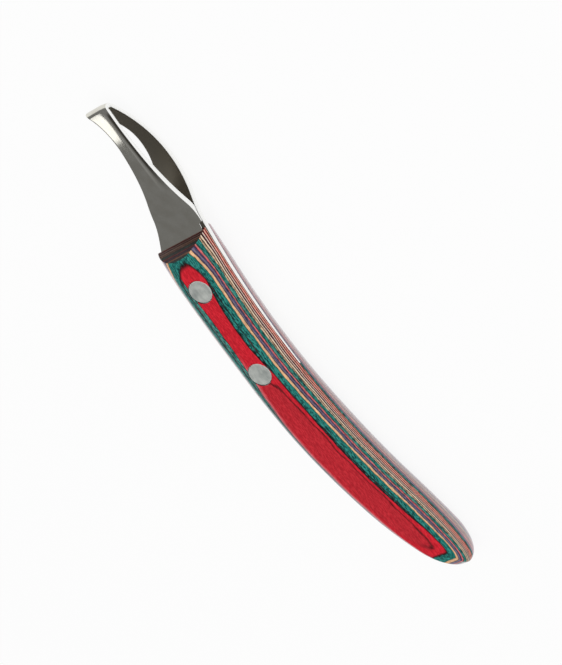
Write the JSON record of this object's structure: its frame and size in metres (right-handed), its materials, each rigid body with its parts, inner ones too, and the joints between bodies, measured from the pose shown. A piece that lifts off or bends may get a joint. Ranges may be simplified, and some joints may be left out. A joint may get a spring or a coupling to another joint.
{
  "type": "farrier's loop knife",
  "caption": "Hoof loop knife: a steel strip bent into a leaf-shaped loop, its tang riveted into a curved handle of dyed laminated wood veneers.",
  "frame": {"origin": "on the flat far side of the handle, at the handle's mid-length", "axes": "+X toward the tip of the loop, -Y toward the spine, +Z from the far flat side to the near flat side"},
  "size_m": [0.1905, 0.0293, 0.0158],
  "materials": {
    "blade_steel": "satin",
    "rivet_metal": "satin",
    "veneer_red": "satin",
    "veneer_teal": "satin",
    "veneer_tan": "satin",
    "veneer_slate": "satin",
    "veneer_pink": "satin",
    "veneer_cream": "satin",
    "veneer_plum": "satin",
    "veneer_coral": "satin"
  },
  "bodies": {
    "root": {"loop_blade": "blade_steel", "front_rivet_barrel_half": "rivet_metal", "front_rivet_pin_half": "rivet_metal", "rear_rivet_barrel_half": "rivet_metal", "rear_rivet_pin_half": "rivet_metal", "veneer_01_red": "veneer_red", "veneer_02_teal": "veneer_teal", "veneer_03_tan": "veneer_tan", "veneer_04_slate": "veneer_slate", "veneer_05_pink": "veneer_pink", "veneer_06_teal": "veneer_teal", "veneer_07_cream": "veneer_cream", "veneer_08_plum": "veneer_plum", "veneer_09_coral": "veneer_coral", "veneer_10_coral": "veneer_coral", "veneer_11_teal": "veneer_teal", "veneer_12_slate": "veneer_slate", "veneer_13_coral": "veneer_coral", "veneer_14_plum": "veneer_plum", "veneer_15_cream": "veneer_cream", "veneer_16_teal": "veneer_teal", "veneer_17_pink": "veneer_pink", "veneer_18_slate": "veneer_slate", "veneer_19_tan": "veneer_tan", "veneer_20_teal": "veneer_teal", "veneer_21_red": "veneer_red"}
  },
  "joints": []
}
